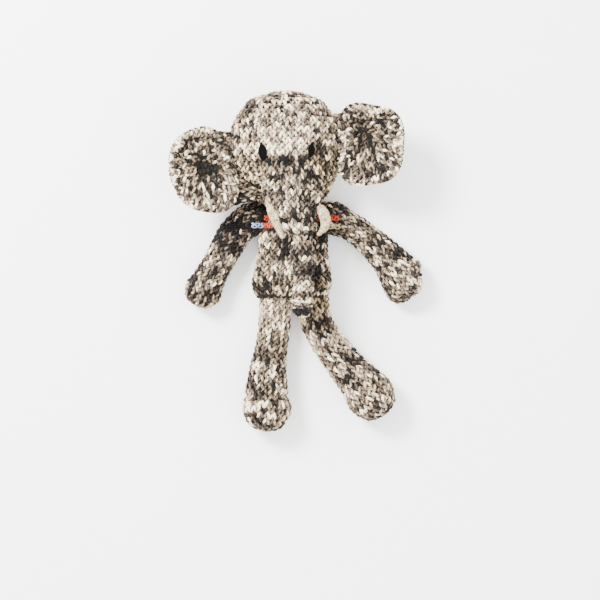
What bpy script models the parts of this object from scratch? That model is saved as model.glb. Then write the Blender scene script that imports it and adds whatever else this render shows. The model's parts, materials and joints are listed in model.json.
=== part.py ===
"""A hand-knitted elephant glove puppet, lying on its back.

World frame: metres, +Z up from the surface that the puppet lies on, +Y towards the head, +X towards the
puppet's left hand. Lengths below are in millimetres and become metres in make_object.

The soft cover of each limb is an open-ended shell around its own stuffing. Limbs end in a ball around
their joint, and a small sewn cup sits between the ball and the body.
"""

import math

import bmesh
import bpy
from mathutils import Vector

MM = 0.001
WALL = 3.0  # thickness of the hand-spun knit
FIT = 0.5  # clearance between pieces that touch

# Body sleeve, from hem to neck: y, centre x, centre z, half width, half depth
SLEEVE = (
    (-38.0, -7.5, 23.5, 38.0, 22.5),
    (-33.0, -7.2, 24.5, 43.5, 25.0),
    (-23.0, -6.6, 25.0, 45.5, 26.0),
    (-4.0, -5.6, 24.0, 42.5, 25.0),
    (10.0, -5.4, 22.5, 39.5, 23.5),
    (34.0, -5.0, 20.5, 39.5, 21.5),
    (44.0, -5.0, 20.0, 41.0, 21.0),
    (50.0, -5.0, 20.0, 39.5, 20.5),
    (53.0, -5.5, 20.5, 33.0, 19.5),
)
HEM_RADIUS = 2.4
HEM_PULL = 2.0  # the cast-off edge is drawn in by this much

# Neck
NECK_CENTRE = (-8.0, 60.0, 24.0)
NECK_HOLE = (21.0, 14.5)  # half width and half depth of the finger opening
NECK_RING = (18.5, 12.0)
NECK_RING_LENGTH = 5.0
NECK_RING_WALL = 3.5

# Head, from neck to crown: y, centre x, centre z, half width, half depth
HEAD = (
    (66.0, -8.5, 22.5, 30.0, 21.5),
    (72.0, -9.5, 29.0, 40.0, 28.5),
    (82.0, -11.0, 36.0, 50.0, 36.0),
    (96.0, -12.5, 42.5, 57.0, 43.0),
    (112.0, -13.5, 45.5, 60.0, 46.5),
    (130.0, -13.8, 46.0, 60.5, 47.0),
    (148.0, -13.8, 45.5, 57.5, 45.5),
    (164.0, -13.8, 43.5, 49.0, 40.0),
    (176.0, -13.8, 40.5, 37.0, 31.0),
    (184.0, -13.8, 37.5, 22.0, 19.0),
)
CROWN_Y = 188.0
POCKET = (17.0, 10.5)  # outer half width and half depth of the finger pocket
POCKET_Z = 21.0
POCKET_WALL = 2.5
POCKET_END_Y = 120.0

# Trunk. The root turns about a cross axis through TRUNK_PIVOT.
TRUNK_PIVOT = (-6.0, 80.0, 63.0)
TRUNK_ROOT_RADIUS = 21.5
TRUNK_ROOT_HALF_WIDTH = 36.5
TRUNK_SEAM_THICKNESS = 1.4
TRUNK_SEAM_SPAN = (-70.0, 15.0)  # degrees above the +Y direction
TRUNK_RECESS_CLEARANCE = 3.0
TRUNK_ROOT = (
    (66.0, -5.5, 64.0, 33.0, 20.0),
    (50.0, -4.5, 65.5, 27.5, 18.0),
    (37.0, -0.5, 67.0, 23.0, 16.5),
    (29.0, 2.0, 68.0, 19.0, 15.0),
)
TRUNK_SWING_PIVOT = (4.5, 14.0, 69.0)
TRUNK_SWING_RADIUS = 14.0
TRUNK_MIDDLE = (
    (4.0, 5.5, 69.0, 13.8, 13.4),
    (-11.0, 6.0, 69.0, 13.0, 12.8),
)
TRUNK_CURL_PIVOT = (6.0, -24.0, 69.0)
TRUNK_CURL_RADIUS = 12.3
TRUNK_TIP_END = (4.4, -50.0, 68.0)
TRUNK_TIP_RADIUS = 12.0

TUSKS = {
    "tusk_left": ((-37.5, 68.0, 79.5), (-32.5, 54.0, 82.5), (-25.0, 40.0, 84.5), (-16.0, 24.0, 84.0)),
    "tusk_right": ((28.5, 61.0, 79.0), (33.5, 50.0, 79.0), (32.0, 38.0, 81.0), (22.0, 28.0, 84.0)),
}
TUSK_RADIUS = 4.6
TUSK_TIP_RADIUS = 1.2

# Ears: hinge position, centre distance from the hinge, half width, half height, which way the ear points
EARS = {
    "ear_left": ((-76.5, 102.5, 60.0), 30.1, 30.1, 46.5, -1),
    "ear_right": ((50.0, 127.5, 60.0), 31.8, 31.8, 46.0, 1),
}
EAR_RIM_RADIUS = 6.2
EAR_DISC_THICKNESS = 5.0
EAR_DISH_DEPTH = 5.0
EAR_LIFT_DEG = 12.0

EYES = {"eye_left": (-38.0, 119.0), "eye_right": (14.5, 121.0)}
EYE_HALF_WIDTH = 5.2
EYE_HALF_HEIGHT = 10.0
EYE_THICKNESS = 2.4

# Limbs: route of the centre line (x, y, z), then half width and half depth at each point of it
ARMS = {
    "arm_left": (
        ((-65.0, 43.0, 16.0), (-76.0, 22.0, 17.0), (-89.0, -2.0, 17.5), (-98.0, -18.0, 18.0), (-103.5, -29.0, 18.5)),
        ((15.5, 15.5), (17.0, 17.0), (17.5, 17.5), (18.5, 18.5), (19.5, 19.0)),
    ),
    "arm_right": (
        ((55.0, 43.0, 16.0), (71.0, 30.5, 17.0), (88.5, 15.5, 17.5), (103.0, 0.5, 18.0), (116.0, -17.0, 18.5)),
        ((15.5, 15.5), (17.0, 17.0), (18.0, 17.5), (21.5, 18.5), (25.0, 19.0)),
    ),
}
LEGS = {
    "leg_left": (
        ((-25.0, -65.0, 19.0), (-28.0, -88.0, 20.0), (-32.5, -114.0, 21.5), (-34.5, -140.0, 24.0), (-34.5, -160.5, 25.5)),
        ((18.5, 18.5), (18.3, 18.5), (20.5, 21.0), (24.0, 24.0), (27.5, 26.0)),
    ),
    "leg_right": (
        ((16.5, -65.0, 19.0), (36.0, -93.0, 20.0), (54.0, -116.0, 21.5), (69.5, -134.0, 24.0), (80.0, -147.5, 25.5)),
        ((18.5, 18.5), (19.5, 19.5), (21.5, 21.5), (24.5, 24.0), (27.5, 26.0)),
    ),
}
SEAM_CUP_THICKNESS = 1.8
SEAM_CUP_HALF_ANGLE = 22.0
COVER_MOUTH_ANGLE = 32.0

# Narrow striped band sewn across the neck
BAND_Y = 42.5
BAND_HALF_WIDTH = 6.0
BAND_THICKNESS = 2.2
BAND_SPAN = (24.0, 156.0)  # degrees round the sleeve, from its right side over the chest

SIDES_WIDE = 22
SIDES_OVAL = 16
SIDES_EAR = 20
SIDES_LIMB = 12
STEPS_LIMB = 6

MARL = (0.46, 0.42, 0.36, 1.0)
CREAM = (0.80, 0.74, 0.62, 1.0)
WADDING = (0.86, 0.85, 0.82, 1.0)
BLACK = (0.015, 0.015, 0.017, 1.0)
CORAL = (0.72, 0.13, 0.08, 1.0)


def clear_scene():
    for item in list(bpy.data.objects):
        bpy.data.objects.remove(item, do_unlink=True)


def material(name, colour, roughness):
    made = bpy.data.materials.new(name)
    made.use_nodes = True
    shader = made.node_tree.nodes["Principled BSDF"]
    shader.inputs["Base Color"].default_value = colour
    shader.inputs["Roughness"].default_value = roughness
    shader.inputs["Metallic"].default_value = 0.0
    return made


def make_object(name, rings, pivot=(0.0, 0.0, 0.0), colour=MARL, roughness=0.95, closed_loop=False):
    """Skins rings of points, each ring joined to the next, into one closed body.

    A ring of one point is a pole. With closed_loop the last ring joins the first, otherwise the end
    rings that aren't poles are filled.
    """
    mesh = bpy.data.meshes.new(name)
    work = bmesh.new()
    origin = Vector(pivot)
    rows = [[work.verts.new((Vector(p) - origin) * MM) for p in ring] for ring in rings]
    pairs = list(zip(rows, rows[1:]))
    if closed_loop:
        pairs.append((rows[-1], rows[0]))
    for first, second in pairs:
        count = max(len(first), len(second))
        for i in range(count):
            j = (i + 1) % count
            if len(first) == 1:
                work.faces.new((first[0], second[j], second[i]))
            elif len(second) == 1:
                work.faces.new((first[i], first[j], second[0]))
            else:
                work.faces.new((first[i], first[j], second[j], second[i]))
    if not closed_loop:
        for row in (rows[0], rows[-1]):
            if len(row) > 1:
                work.faces.new(row)
    bmesh.ops.recalc_face_normals(work, faces=work.faces)
    work.to_mesh(mesh)
    work.free()
    mesh.shade_smooth()
    made = bpy.data.objects.new(name, mesh)
    made.location = origin * MM
    bpy.context.scene.collection.objects.link(made)
    mesh.materials.append(material(name, colour, roughness))
    return made


def make_cutter(name, rings, closed_loop=False):
    cutter = make_object(name, rings, closed_loop=closed_loop)
    cutter.hide_render = True
    cutter.display_type = "WIRE"
    return cutter


def cut(target, cutter):
    modifier = target.modifiers.new(cutter.name, "BOOLEAN")
    modifier.operation = "DIFFERENCE"
    modifier.solver = "EXACT"
    modifier.object = cutter


def oval(centre, side, up, half_width, half_depth, count, floor=None):
    """Points of an ellipse in the plane of side and up, none lower than floor."""
    points = []
    for i in range(count):
        turn = 2 * math.pi * (i + 0.5) / count
        point = Vector(centre) + side * (half_width * math.cos(turn)) + up * (half_depth * math.sin(turn))
        if floor is not None:
            point.z = max(point.z, floor)
        points.append(point)
    return points


X_AXIS = Vector((1.0, 0.0, 0.0))
Y_AXIS = Vector((0.0, 1.0, 0.0))
Z_AXIS = Vector((0.0, 0.0, 1.0))


def cross_rings(sections, offset, count, floor=None):
    """Rings across the Y axis, drawn in by offset."""
    rings = []
    for y, x, z, half_width, half_depth in sections:
        rings.append(oval((x, y, z), X_AXIS, Z_AXIS, half_width - offset, half_depth - offset, count, floor))
    return rings


def arc(start, stop, steps):
    """Evenly spaced angles in radians from start to stop, both given in degrees."""
    return [math.radians(start + (stop - start) * i / steps) for i in range(steps + 1)]


def body_sleeve():
    outer = cross_rings(SLEEVE, 0.0, SIDES_WIDE, 0.0)
    inner = cross_rings(SLEEVE, WALL, SIDES_WIDE, WALL)
    top = SLEEVE[-1][0]
    mouth = (NECK_CENTRE[0], top, NECK_CENTRE[2] - 2.0)
    outer_hole = oval(mouth, X_AXIS, Z_AXIS, *NECK_HOLE, SIDES_WIDE)
    inner_hole = [p - Y_AXIS * WALL for p in outer_hole]
    inner[-1] = [p - Y_AXIS * WALL for p in inner[-1]]
    rings = outer + [outer_hole, inner_hole] + inner[::-1]
    return make_object("body_sleeve", rings, closed_loop=True)


def hem_band():
    """The rolled cast-off edge, a soft ring just below the sleeve's open end."""
    y, x, z, half_width, half_depth = SLEEVE[0]
    y -= HEM_RADIUS + FIT
    rings = []
    for turn in arc(0.0, 300.0, 5):
        inset = HEM_PULL - HEM_RADIUS * math.cos(turn)
        height = HEM_RADIUS * math.sin(turn)
        ring = oval((x, y + height, z), X_AXIS, Z_AXIS, half_width - inset, half_depth - inset, SIDES_WIDE, inset)
        rings.append(ring)
    return make_object("hem_band", rings, closed_loop=True)


def neck_seam():
    """The ring of overcast yarn that joins head and body, open for the fingers."""
    x, y, z = NECK_CENTRE
    half = NECK_RING_LENGTH / 2
    wide, deep = NECK_RING
    rings = []
    for along, inset in ((-half, 0.0), (half, 0.0), (half, NECK_RING_WALL), (-half, NECK_RING_WALL)):
        rings.append(oval((x, y + along, z), X_AXIS, Z_AXIS, wide - inset, deep - inset, SIDES_OVAL))
    return make_object("neck_seam", rings, NECK_CENTRE, closed_loop=True)


def head_rings(offset, floor):
    rings = cross_rings(HEAD, offset, SIDES_WIDE, floor)
    rings[0] = [p + Y_AXIS * offset for p in rings[0]]
    crown = Vector((HEAD[-1][1], CROWN_Y - offset, HEAD[-1][2]))
    return rings + [[crown]]


def trunk_recess(name, extra):
    """The space in the head's front that the trunk's root turns in."""
    x, y, z = TRUNK_PIVOT
    radius = TRUNK_ROOT_RADIUS + TRUNK_RECESS_CLEARANCE + extra
    outline = [(y + radius * math.cos(a), z + radius * math.sin(a)) for a in arc(-90.0, 60.0, 10)]
    outline += [(y + radius, z + 60.0), (y - 40.0, z + 60.0), (y - 40.0, z - radius)]
    half = TRUNK_ROOT_HALF_WIDTH + TRUNK_RECESS_CLEARANCE + extra
    rings = [[(x + side, *point) for point in outline] for side in (-half, half)]
    return make_cutter(name, rings)


def passage(name, half_width, half_depth, start_y, end_y):
    """A straight oval channel up the neck."""
    x = NECK_CENTRE[0]
    rings = [oval((x, y, POCKET_Z), X_AXIS, Z_AXIS, half_width, half_depth, SIDES_OVAL) for y in (start_y, end_y)]
    return make_cutter(name, rings)


def head():
    cover = make_object("head_cover", head_rings(0.0, 0.0), NECK_CENTRE)
    hollow = make_cutter("head_hollow", head_rings(WALL, WALL))
    cut(hollow, trunk_recess("recess_inside", WALL))
    cut(cover, trunk_recess("recess_outside", 0.0))
    cut(cover, hollow)
    wide, deep = POCKET
    neck_y = HEAD[0][0]
    cut(cover, passage("neck_opening", wide + 1.0, deep + 1.0, neck_y - 5.0, neck_y + 8.0))
    filling = make_object("head_stuffing", head_rings(WALL + FIT, WALL + FIT), NECK_CENTRE, WADDING)
    cut(filling, trunk_recess("recess_stuffing", WALL + FIT))
    cut(filling, passage("pocket_channel", wide + FIT, deep + FIT, neck_y - 5.0, POCKET_END_Y + FIT))


def finger_pocket():
    """The knitted lining that the fingers slide into, closed at its upper end."""
    wide, deep = POCKET
    start = HEAD[0][0] + FIT / 2
    end = POCKET_END_Y
    walls = (
        (end - POCKET_WALL, 7.0),
        (end - 8.0, POCKET_WALL),
        (start, POCKET_WALL),
        (start, 0.0),
        (end - 8.0, 0.0),
        (end, 5.0),
    )
    rings = []
    for y, inset in walls:
        at = (NECK_CENTRE[0], y, POCKET_Z)
        rings.append(oval(at, X_AXIS, Z_AXIS, wide - inset, deep - inset, SIDES_OVAL))
    make_object("finger_pocket", rings, NECK_CENTRE, CREAM)


def surface_height(x, y):
    """The head's front surface above a point of the plane."""
    for low, high in zip(HEAD, HEAD[1:]):
        if low[0] <= y <= high[0]:
            share = (y - low[0]) / (high[0] - low[0])
            _, cx, cz, half_width, half_depth = [a + (b - a) * share for a, b in zip(low, high)]
            return cz + half_depth * math.sqrt(max(0.0, 1.0 - ((x - cx) / half_width) ** 2))
    raise ValueError("outside the head")


def eye(name, x, y):
    """A flat almond, pointed at the top, that follows the slope of the face."""
    step = 3.0
    slope_x = (surface_height(x + step, y) - surface_height(x - step, y)) / (2 * step)
    slope_y = (surface_height(x, y + step) - surface_height(x, y - step)) / (2 * step)
    normal = Vector((-slope_x, -slope_y, 1.0)).normalized()
    side = Y_AXIS.cross(normal).normalized()
    along = normal.cross(side)
    base = Vector((x, y, surface_height(x, y))) + normal * (FIT + 0.9)
    rings = []
    for height, scale in ((0.0, 0.9), (EYE_THICKNESS * 0.5, 1.0), (EYE_THICKNESS, 0.6)):
        ring = []
        for turn in arc(0.0, 340.0, 17):
            up = math.sin(turn)
            narrow = 1.0 - 0.55 * max(0.0, up) ** 1.5
            across = EYE_HALF_WIDTH * math.cos(turn) * narrow
            ring.append(base + side * across * scale + along * EYE_HALF_HEIGHT * up * scale + normal * height)
        rings.append(ring)
    return make_object(name, rings, base, BLACK, 0.8)


def ear(name, hinge, reach, half_width, half_height, way):
    """A dished oval disc with a thick rim, standing out sideways from its hinge along Y."""
    tilt = math.radians(EAR_LIFT_DEG)
    outward = Vector((way * math.cos(tilt), 0.0, math.sin(tilt)))
    normal = Vector((-way * math.sin(tilt), 0.0, math.cos(tilt)))
    centre = Vector(hinge) + outward * reach
    rim = EAR_RIM_RADIUS
    profile = [(0.30, -EAR_DISH_DEPTH + 3.0), (0.62, -EAR_DISH_DEPTH + 5.0)]
    rings = [[centre + normal * (2.0 - EAR_DISH_DEPTH)]]
    for share, height in profile:
        rings.append(oval(centre + normal * height, outward, Y_AXIS, half_width * share, half_height * share, SIDES_EAR))
    for turn in arc(150.0, -150.0, 6):
        out = rim * math.cos(turn)
        lift = rim * math.sin(turn)
        rings.append(oval(centre + normal * lift, outward, Y_AXIS, half_width + out, half_height + out - rim, SIDES_EAR))
    for share, height in reversed(profile):
        low = centre + normal * (height - EAR_DISC_THICKNESS)
        rings.append(oval(low, outward, Y_AXIS, half_width * share, half_height * share, SIDES_EAR))
    rings.append([centre + normal * (2.0 - EAR_DISH_DEPTH - EAR_DISC_THICKNESS)])
    return make_object(name, rings, hinge)


def trunk_seam():
    """The strip of overcast stitches that hinges the trunk to the face, curved about the trunk's axis."""
    x, y, z = TRUNK_PIVOT
    inside = TRUNK_ROOT_RADIUS + FIT
    outside = inside + TRUNK_SEAM_THICKNESS
    half = TRUNK_ROOT_HALF_WIDTH - TRUNK_ROOT_RADIUS
    rings = []
    for turn in arc(*TRUNK_SEAM_SPAN, 7):
        out = Vector((0.0, math.cos(turn), math.sin(turn)))
        ring = []
        for radius, side in ((inside, -half), (outside, -half), (outside, half), (inside, half)):
            ring.append(Vector((x + side, y, z)) + out * radius)
        rings.append(ring)
    return make_object("trunk_seam", rings, TRUNK_PIVOT)


def trunk_root_rings(offset):
    """From the rounded upper end at the face to the lower end."""
    x, y, z = TRUNK_PIVOT
    radius = TRUNK_ROOT_RADIUS - offset
    flat = TRUNK_ROOT_HALF_WIDTH - TRUNK_ROOT_RADIUS
    rings = []
    for turn in arc(78.0, 0.0, 3):
        wide = flat + radius * math.cos(turn)
        deep = radius * math.cos(turn)
        rings.append(oval((x, y + radius * math.sin(turn), z), X_AXIS, Z_AXIS, wide, deep, SIDES_OVAL))
    return rings + cross_rings(TRUNK_ROOT, offset, SIDES_OVAL)


def shell_and_core(name, rings_at, pivot, core_name):
    """An open-ended cover and its stuffing. rings_at(offset) gives rings from the closed to the open end."""
    outer = rings_at(0.0)
    inner = rings_at(WALL)
    make_object(name + "_cover", outer + inner[::-1], pivot)
    core = rings_at(WALL + FIT)
    make_object(core_name, core, pivot, WADDING)


def trunk_middle_rings(offset):
    centre = Vector(TRUNK_SWING_PIVOT)
    radius = TRUNK_SWING_RADIUS - offset
    rings = [[centre + Y_AXIS * radius]]
    for turn in arc(60.0, 0.0, 2):
        size = radius * math.cos(turn)
        rings.append(oval(centre + Y_AXIS * radius * math.sin(turn), X_AXIS, Z_AXIS, size, size, SIDES_LIMB))
    return rings + cross_rings(TRUNK_MIDDLE, offset, SIDES_LIMB)


def trunk_tip_rings(offset):
    """From the rounded free end up to the mouth beside the curl joint."""
    end = Vector(TRUNK_TIP_END)
    radius = TRUNK_TIP_RADIUS - offset
    rings = [[end - Y_AXIS * radius]]
    for turn in arc(60.0, 0.0, 2):
        size = radius * math.cos(turn)
        rings.append(oval(end - Y_AXIS * radius * math.sin(turn), X_AXIS, Z_AXIS, size, size, SIDES_LIMB))
    top = Vector(TRUNK_CURL_PIVOT)
    radius = TRUNK_CURL_RADIUS - offset
    for turn in arc(0.0, 90.0 - COVER_MOUTH_ANGLE, 2):
        size = radius * math.cos(turn)
        rings.append(oval(top + Y_AXIS * radius * math.sin(turn), X_AXIS, Z_AXIS, size, size, SIDES_LIMB))
    return rings


def trunk():
    shell_and_core("trunk_root", trunk_root_rings, TRUNK_PIVOT, "trunk_root_stuffing")
    shell_and_core("trunk_middle", trunk_middle_rings, TRUNK_SWING_PIVOT, "trunk_middle_stuffing")
    shell_and_core("trunk_tip", trunk_tip_rings, TRUNK_CURL_PIVOT, "trunk_tip_stuffing")


def tusk(name, route):
    """A small curved horn, thickest near its root and pointed at its tip."""
    steps = 8
    rings = []
    for i in range(steps + 1):
        share = i / steps
        centre = along_route(route, share)
        ahead = along_route(route, min(1.0, share + 0.05)) - along_route(route, max(0.0, share - 0.05))
        side = ahead.cross(Z_AXIS).normalized()
        up = side.cross(ahead).normalized()
        radius = TUSK_TIP_RADIUS + (TUSK_RADIUS - TUSK_TIP_RADIUS) * math.sin(math.pi * (0.25 + 0.75 * share))
        rings.append(oval(centre, side, up, radius, radius, 8))
    return make_object(name, rings, TRUNK_PIVOT, CREAM)


def along_route(route, share):
    """A point of the smooth curve through the route's points (Catmull-Rom)."""
    points = [Vector(p) for p in route]
    points = [points[0] * 2 - points[1]] + points + [points[-1] * 2 - points[-2]]
    spans = len(points) - 3
    span = min(int(share * spans), spans - 1)
    t = share * spans - span
    a, b, c, d = points[span : span + 4]
    return 0.5 * (2 * b + (c - a) * t + (2 * a - 5 * b + 4 * c - d) * t**2 + (3 * b - a - 3 * c + d) * t**3)


def limb_rings(route, sizes, offset, floor):
    """From the rounded far end up to the mouth in the ball around the joint."""
    sizes3 = [(a, b, 0.0) for a, b in sizes]
    body = []
    for i in range(STEPS_LIMB, -1, -1):
        share = i / STEPS_LIMB
        centre = along_route(route, share)
        ahead = along_route(route, min(1.0, share + 0.04)) - along_route(route, max(0.0, share - 0.04))
        ahead.z = 0.0
        ahead.normalize()
        wide, deep, _ = along_route(sizes3, share)
        body.append((centre, ahead, wide - offset, deep - offset))
    rings = []
    centre, ahead, wide, deep = body[0]
    rings.append([centre + ahead * wide])
    for turn in arc(62.0, 21.0, 2):
        at = centre + ahead * wide * math.sin(turn)
        size = math.cos(turn)
        rings.append(oval(at, ahead.cross(Z_AXIS), Z_AXIS, wide * size, deep * size, SIDES_LIMB, floor))
    for centre, ahead, wide, deep in body:
        rings.append(oval(centre, ahead.cross(Z_AXIS), Z_AXIS, wide, deep, SIDES_LIMB, floor))
    centre, ahead, wide, deep = body[-1]
    for turn in arc(28.0, 90.0 - COVER_MOUTH_ANGLE, 1):
        at = centre - ahead * wide * math.sin(turn)
        size = math.cos(turn)
        rings.append(oval(at, ahead.cross(Z_AXIS), Z_AXIS, wide * size, deep * size, SIDES_LIMB, floor))
    return rings


def seam_cup(name, pivot, away, ball_radius):
    """A shallow sewn cup that follows the ball of the limb, on the side towards the body."""
    centre = Vector(pivot)
    towards = -away
    side = towards.cross(Z_AXIS).normalized()
    inside = ball_radius + FIT
    outside = inside + SEAM_CUP_THICKNESS
    rings = [[centre + towards * inside]]
    for radius, angles in ((inside, (0.5, 1.0)), (outside, (1.0, 0.5))):
        for part in angles:
            angle = math.radians(SEAM_CUP_HALF_ANGLE * part)
            at = centre + towards * radius * math.cos(angle)
            size = radius * math.sin(angle)
            rings.append(oval(at, side, Z_AXIS, size, size, 12))
    rings.append([centre + towards * outside])
    return make_object(name, rings, pivot)


def limb(name, route, sizes):
    pivot = route[0]
    away = Vector(route[1]) - Vector(route[0])
    away.z = 0.0
    away.normalize()
    toward_body = Vector((math.copysign(1.0, pivot[0]), 0.0, 0.0))
    if name.startswith("leg"):
        toward_body = -Y_AXIS
    seam_cup(name + "_seam", pivot, toward_body, sizes[0][0])
    outer = limb_rings(route, sizes, 0.0, 0.0)
    inner = limb_rings(route, sizes, WALL, WALL)
    make_object(name + "_cover", outer + inner[::-1], pivot)
    make_object(name + "_stuffing", limb_rings(route, sizes, WALL + FIT, WALL + FIT), pivot, WADDING)


def sleeve_section(y):
    for low, high in zip(SLEEVE, SLEEVE[1:]):
        if low[0] <= y <= high[0]:
            share = (y - low[0]) / (high[0] - low[0])
            return [a + (b - a) * share for a, b in zip(low, high)]
    raise ValueError("outside the sleeve")


def neck_band():
    """A narrow strip that lies over the chest from shoulder to shoulder."""
    _, x, z, half_width, half_depth = sleeve_section(BAND_Y)
    under = 1.0
    rings = []
    for turn in arc(*BAND_SPAN, 16):
        ring = []
        for lift, along in (
            (under, -BAND_HALF_WIDTH),
            (under + BAND_THICKNESS, -BAND_HALF_WIDTH),
            (under + BAND_THICKNESS, BAND_HALF_WIDTH),
            (under, BAND_HALF_WIDTH),
        ):
            across = (half_width + lift) * math.cos(turn)
            height = (half_depth + lift) * math.sin(turn)
            ring.append((x + across, BAND_Y + along, z + height))
        rings.append(ring)
    return make_object("neck_band", rings, colour=CORAL)


def build():
    clear_scene()
    body_sleeve()
    hem_band()
    neck_band()
    neck_seam()
    head()
    finger_pocket()
    for name, (x, y) in EYES.items():
        eye(name, x, y)
    for name, shape in EARS.items():
        ear(name, *shape)
    trunk_seam()
    trunk()
    for name, route in TUSKS.items():
        tusk(name, route)
    for name, (route, sizes) in {**ARMS, **LEGS}.items():
        limb(name, route, sizes)


build()
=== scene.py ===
"""Looks of the hand-knitted elephant puppet.

Every knitted piece is real yarn: one closed course of loops for each row, laid on the surface that the
CAD cover gives by ray casting. Lengths are in metres. Left and right are the viewer's.
"""

import json
import math

import bpy
import numpy as np
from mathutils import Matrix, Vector
from mathutils.bvhtree import BVHTree


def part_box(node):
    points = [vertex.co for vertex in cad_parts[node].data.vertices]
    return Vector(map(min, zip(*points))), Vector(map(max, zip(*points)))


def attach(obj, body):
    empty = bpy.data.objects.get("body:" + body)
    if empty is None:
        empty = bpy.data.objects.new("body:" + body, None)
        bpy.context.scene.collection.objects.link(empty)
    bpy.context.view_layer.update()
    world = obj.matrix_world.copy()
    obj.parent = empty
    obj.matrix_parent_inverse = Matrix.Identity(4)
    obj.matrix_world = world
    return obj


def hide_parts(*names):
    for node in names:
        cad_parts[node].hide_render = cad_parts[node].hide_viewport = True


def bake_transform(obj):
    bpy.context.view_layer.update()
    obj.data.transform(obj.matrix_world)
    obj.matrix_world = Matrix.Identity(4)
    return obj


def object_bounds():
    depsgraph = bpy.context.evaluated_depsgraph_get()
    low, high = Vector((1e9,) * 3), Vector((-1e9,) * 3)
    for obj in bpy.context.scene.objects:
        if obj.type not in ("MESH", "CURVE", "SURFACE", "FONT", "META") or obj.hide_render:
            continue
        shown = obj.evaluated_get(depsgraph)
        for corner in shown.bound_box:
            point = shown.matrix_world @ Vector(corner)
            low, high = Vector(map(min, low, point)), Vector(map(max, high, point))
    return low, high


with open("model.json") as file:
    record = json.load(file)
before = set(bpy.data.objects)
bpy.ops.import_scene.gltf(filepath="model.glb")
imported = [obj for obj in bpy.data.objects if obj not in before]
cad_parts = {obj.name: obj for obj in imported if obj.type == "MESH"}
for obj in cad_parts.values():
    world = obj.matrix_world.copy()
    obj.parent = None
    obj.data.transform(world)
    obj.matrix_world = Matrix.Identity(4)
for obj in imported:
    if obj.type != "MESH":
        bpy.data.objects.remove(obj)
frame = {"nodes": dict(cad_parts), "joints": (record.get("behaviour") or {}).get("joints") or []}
CAD_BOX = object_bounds()
NODES = frame["nodes"]
JOINTS = {j["name"]: j for j in frame["joints"]}
MM = 0.001

# Yarn and knitting gauge
STITCH = 7.3 * MM
ROW = 6.1 * MM
YARN = 1.68 * MM
SINK = 2.7 * MM  # how far the yarn's centre lies inside the cover's surface
SKIN = 4.6 * MM  # depth of the inner layer that shows between the loops, coloured dark as painted shade
WOBBLE = 1.1 * MM  # unevenness of the hand-made rows
LOOP_SWING = 0.315  # how far a loop leans out beyond its own width
LOOP_HEIGHT = 0.74  # half height of a loop, as a share of the row
LOOP_DEPTH = 1.4 * MM
PURL_RISE = 1.3  # how far a purl ridge stands out, in loop depths
HEIGHT_JITTER = 0.10
LEAN_JITTER = 0.030
THICKNESS_JITTER = 0.11
RECOUNT = 0.12  # the number of stitches is kept until the girth has changed by this share
YARN_PER_STITCH = 2.6  # length of yarn in a stitch, in stitch widths
SAMPLES = 12  # points along one loop
SIDES = 6  # points round a strand
PLY_TWIST = 13.0 * MM  # length of one turn of the plies
CONTRAST = 0.26  # of the shades along a strand
LEG_SHADE = 1.0556  # difference between one half of a stitch and the next, as a share of the contrast
SPECK_SHADE = 0.7  # difference between one stitch and the next, as a share of the contrast
PAINTED_CREASE_SHADE = 0.36  # painted shade: how much darker a strand is made where it touches the next one, in the crease
FLECK = 4.4 * MM  # length of the light and dark flecks in the spun wool
POLE_GAP = 2.2 * MM  # the last row stops this far from a closed end
SLICE = 1.5 * MM  # distance between the slices taken through a cover

REST_HEIGHT = 0.2 * MM  # yarn that would sink below this lies flat on the floor

HEADWARD = (0, 1, 0)

CAMERA_DISTANCE = 3.0
FOCUS_HEIGHT = 45 * MM
VIEW_WIDTH = 660 * MM  # what the picture's width takes in, at the focus height
VIEW_SHIFT = (2.75 * MM, -42.35 * MM)  # from the middle of the CAD box
FLOOR_HALF = 6.0


# ---- camera, floor and light


def add_object(name, data):
    made = bpy.data.objects.new(name, data)
    bpy.context.scene.collection.objects.link(made)
    return made


def make_camera():
    data = bpy.data.cameras.new("camera")
    data.sensor_width = 36.0
    data.lens = data.sensor_width * CAMERA_DISTANCE / VIEW_WIDTH
    data.clip_start = 0.1
    data.clip_end = 50.0
    camera = add_object("camera", data)
    middle = (CAD_BOX[0] + CAD_BOX[1]) / 2
    height = CAD_BOX[0].z + FOCUS_HEIGHT + CAMERA_DISTANCE
    camera.location = (middle.x + VIEW_SHIFT[0], middle.y + VIEW_SHIFT[1], height)
    bpy.context.scene.camera = camera


def make_floor():
    mesh = bpy.data.meshes.new("floor")
    corners = [(x * FLOOR_HALF, y * FLOOR_HALF, 0) for x, y in ((-1, -1), (1, -1), (1, 1), (-1, 1))]
    mesh.from_pydata(corners, [], [(0, 1, 2, 3)])
    floor = add_object("floor", mesh)
    floor.location.z = CAD_BOX[0].z - 1.0 * MM
    paper, shader, _, _ = new_material("floor")
    set_inputs(shader, {"Base Color": (0.98, 0.98, 0.98, 1), "Roughness": 0.95})
    mesh.materials.append(paper)


def make_light(name, location, size, power):
    data = bpy.data.lights.new(name, "AREA")
    data.shape = "DISK"
    data.size = size
    data.energy = power
    light = add_object(name, data)
    light.location = location
    light.rotation_mode = "QUATERNION"
    light.rotation_quaternion = (-Vector(location)).to_track_quat("-Z", "Y")


def make_studio():
    world = bpy.data.worlds.new("studio")
    world.use_nodes = True
    set_inputs(world.node_tree.nodes["Background"], {"Color": (1, 1, 1, 1), "Strength": 3.5})
    bpy.context.scene.world = world
    make_light("key", (-1.15, 1.0, 1.8), 0.8, 190.0)
    make_light("fill", (0.8, -0.6, 1.8), 1.6, 15.0)


# ---- materials


def new_material(name):
    """A material with its shader, and what makes and links its nodes."""
    made = bpy.data.materials.new(name)
    made.use_nodes = True
    tree = made.node_tree

    def make(kind, **values):
        node = tree.nodes.new(kind)
        for key, value in values.items():
            setattr(node, key, value)
        return node

    return made, tree.nodes["Principled BSDF"], make, tree.links.new


def set_inputs(node, values):
    for key, value in values.items():
        node.inputs[key].default_value = value


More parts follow.
